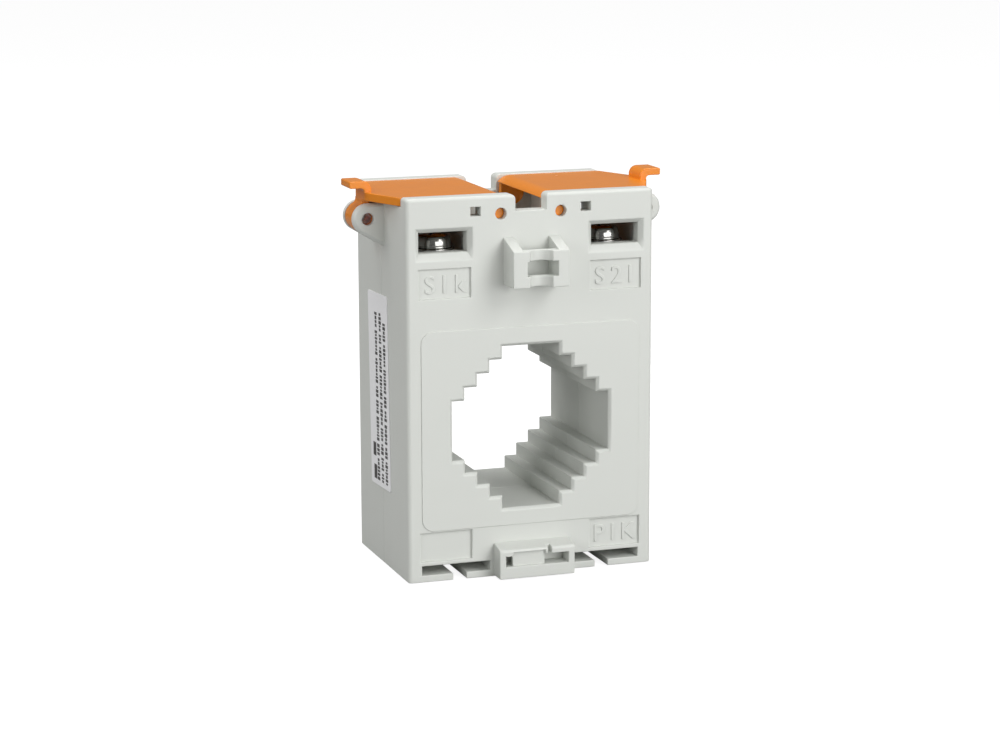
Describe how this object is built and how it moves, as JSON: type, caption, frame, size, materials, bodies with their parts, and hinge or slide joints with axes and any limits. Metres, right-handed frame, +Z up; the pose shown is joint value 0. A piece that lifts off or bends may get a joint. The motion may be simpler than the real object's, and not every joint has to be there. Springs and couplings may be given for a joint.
{
  "type": "busbar current transformer",
  "caption": "Moulded two-part case with a stepped busbar window, a wound ring core inside, screw terminals on top and two hinged lids.",
  "frame": {"origin": "centre of the underside, midway between the front and rear faces", "axes": "+Z up, +Y along the busbar from the front face to the rear, +X to the right seen from the front"},
  "size_m": [0.0806, 0.0574, 0.0965],
  "materials": {
    "shell_grey": "fine satin moulded polycarbonate",
    "lid_orange": "translucent orange moulding",
    "label_white": "printed film",
    "plated_strip": "nickel plated",
    "plated_steel": "bright nickel plated",
    "core_steel": "wound silicon steel strip",
    "core_cap": "moulded insulation",
    "copper_wire": "enamelled copper wire",
    "tape": "polyester tape",
    "packing": "closed foam",
    "lead_insulation": "insulated wire"
  },
  "bodies": {
    "case": {"front_shell": "shell_grey", "rear_shell": "shell_grey", "rating_label": "label_white", "terminal_strip_s1": "plated_strip", "terminal_strip_s2": "plated_strip", "terminal_screw_s1_front": "plated_steel", "spring_washer_s1_front": "plated_steel", "clamp_washer_s1_front": "plated_steel", "terminal_screw_s1_rear": "plated_steel", "spring_washer_s1_rear": "plated_steel", "clamp_washer_s1_rear": "plated_steel", "terminal_screw_s2_front": "plated_steel", "spring_washer_s2_front": "plated_steel", "clamp_washer_s2_front": "plated_steel", "terminal_screw_s2_rear": "plated_steel", "spring_washer_s2_rear": "plated_steel", "clamp_washer_s2_rear": "plated_steel", "terminal_nut_s1_front": "plated_steel", "terminal_nut_s1_rear": "plated_steel", "terminal_nut_s2_front": "plated_steel", "terminal_nut_s2_rear": "plated_steel", "core_ring": "core_steel", "core_cap_front": "core_cap", "core_cap_rear": "core_cap", "secondary_winding": "copper_wire", "winding_tape": "tape", "packing_ring_front": "packing", "packing_ring_rear": "packing", "lead_s1": "lead_insulation", "lead_s2": "lead_insulation"},
    "left_lid": {"lid_s1": "lid_orange"},
    "right_lid": {"lid_s2": "lid_orange"}
  },
  "joints": [
    {"name": "left_lid_hinge", "type": "hinge", "parent": "case", "child": "left_lid", "pos_m": [-0.00765, 0, 0.0895], "axis": [0, 1, 0], "range_deg": [0, 85]},
    {"name": "right_lid_hinge", "type": "hinge", "parent": "case", "child": "right_lid", "pos_m": [0.00765, 0, 0.0895], "axis": [0, -1, 0], "range_deg": [0, 85]}
  ]
}
